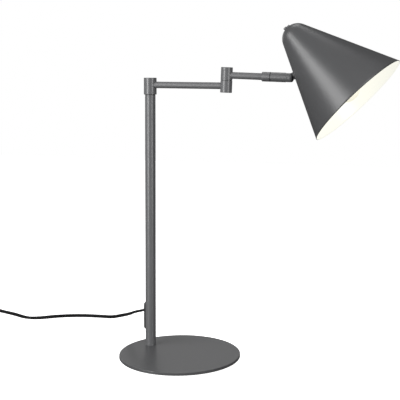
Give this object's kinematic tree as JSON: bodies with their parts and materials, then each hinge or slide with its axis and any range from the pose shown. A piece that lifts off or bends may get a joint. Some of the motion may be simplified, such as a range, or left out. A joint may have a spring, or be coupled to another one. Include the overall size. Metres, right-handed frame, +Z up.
{
  "type": "architect desk lamp",
  "caption": "Desk lamp with a round weighted base, slim post, two-link swing arm, swivel and tilt joints and a conical metal shade.",
  "frame": {"origin": "centre of the foot pad's underside, on the table", "axes": "+Z up; +X from the post towards the shade, along both arms as stored"},
  "size_m": [0.8848, 0.2341, 0.4928],
  "materials": {
    "graphite_paint": "fine-textured satin powder coat, graphite grey",
    "shade_paint": "spun aluminium, graphite powder coat outside and white enamel inside",
    "black_metal": "black zinc plate",
    "zinc_steel": "bright zinc-plated steel",
    "washer_nylon": "black nylon",
    "foot_foam": "closed-cell foam",
    "black_plastic": "fine-grained black moulding",
    "flex_relief": "soft black moulding",
    "cord_sheath": "black sheathed flat two-core cord",
    "tie_strip": "black coated tie strip",
    "holder_plastic": "white heat-resistant moulding",
    "brass": "nickel-plated brass",
    "sleeve_plastic": "black moulding",
    "opal_glass": "opal glass, lit"
  },
  "bodies": {
    "stand": {"base_pad": "foot_foam", "base_plate": "graphite_paint", "post_foot_insert": "zinc_steel", "post_bolt": "zinc_steel", "post_tube": "graphite_paint", "post_spigot": "zinc_steel", "collar_washer": "washer_nylon", "post_wire": "cord_sheath", "cord_outlet": "black_plastic", "outlet_screw": "black_metal", "cord_run": "cord_sheath", "switch_lower_shell": "black_plastic", "switch_upper_shell": "black_plastic", "switch_screws": "zinc_steel", "switch_contacts": "brass", "rocker_pin": "zinc_steel", "cord_tail": "cord_sheath", "cord_coil": "cord_sheath", "coil_tie": "tie_strip", "cord_end": "cord_sheath", "plug_relief": "flex_relief", "plug_body": "black_plastic", "plug_pins": "brass", "plug_pin_sleeves": "sleeve_plastic"},
    "lower_arm": {"post_collar": "graphite_paint", "collar_grub_screw": "zinc_steel", "lower_rod": "graphite_paint", "elbow_lower_drum": "graphite_paint", "elbow_bottom_cap": "graphite_paint", "elbow_pivot": "zinc_steel", "elbow_washer": "washer_nylon", "elbow_spring_washer": "zinc_steel", "elbow_nut": "zinc_steel", "lower_arm_wire": "cord_sheath"},
    "upper_arm": {"elbow_upper_drum": "graphite_paint", "elbow_top_cap": "graphite_paint", "upper_rod": "graphite_paint", "swivel_ring": "graphite_paint", "swivel_spigot": "zinc_steel", "swivel_washer": "washer_nylon", "upper_arm_wire": "cord_sheath"},
    "barrel": {"swivel_barrel": "graphite_paint", "barrel_grub_screw": "zinc_steel", "tilt_screw": "graphite_paint"},
    "head": {"tilt_tongue": "black_metal", "tongue_nut": "zinc_steel", "shade": "shade_paint", "crown_screws": "black_metal", "holder_stem": "zinc_steel", "lampholder": "holder_plastic", "lampholder_sleeve": "brass", "bulb_cap": "brass", "bulb_glass": "opal_glass", "holder_lead": "cord_sheath"},
    "rocker": {"switch_rocker": "black_plastic"}
  },
  "joints": [
    {"name": "post_swing", "type": "hinge", "parent": "stand", "child": "lower_arm", "pos_m": [-0.0582, 0.0216, 0.4028], "axis": [0, 0, 1], "range_deg": [-165, 165]},
    {"name": "elbow_swing", "type": "hinge", "parent": "lower_arm", "child": "upper_arm", "pos_m": [0.0662, 0.0216, 0.4113], "axis": [0.0419, 0, 0.9991], "range_deg": [-120, 120]},
    {"name": "barrel_roll", "type": "hinge", "parent": "upper_arm", "child": "barrel", "pos_m": [0.06652, 0.0216, 0.41889], "axis": [0.9991, 0, -0.0419], "range_deg": [-170, 170]},
    {"name": "shade_tilt", "type": "hinge", "parent": "barrel", "child": "head", "pos_m": [0.16243, 0.0216, 0.41487], "axis": [0, 1, 0], "range_deg": [-45, 45]},
    {"name": "switch_rock", "type": "hinge", "parent": "stand", "child": "rocker", "pos_m": [-0.46492, 0.11066, 0.0122], "axis": [-0.0698, -0.9976, 0], "range_deg": [0, 14]}
  ]
}
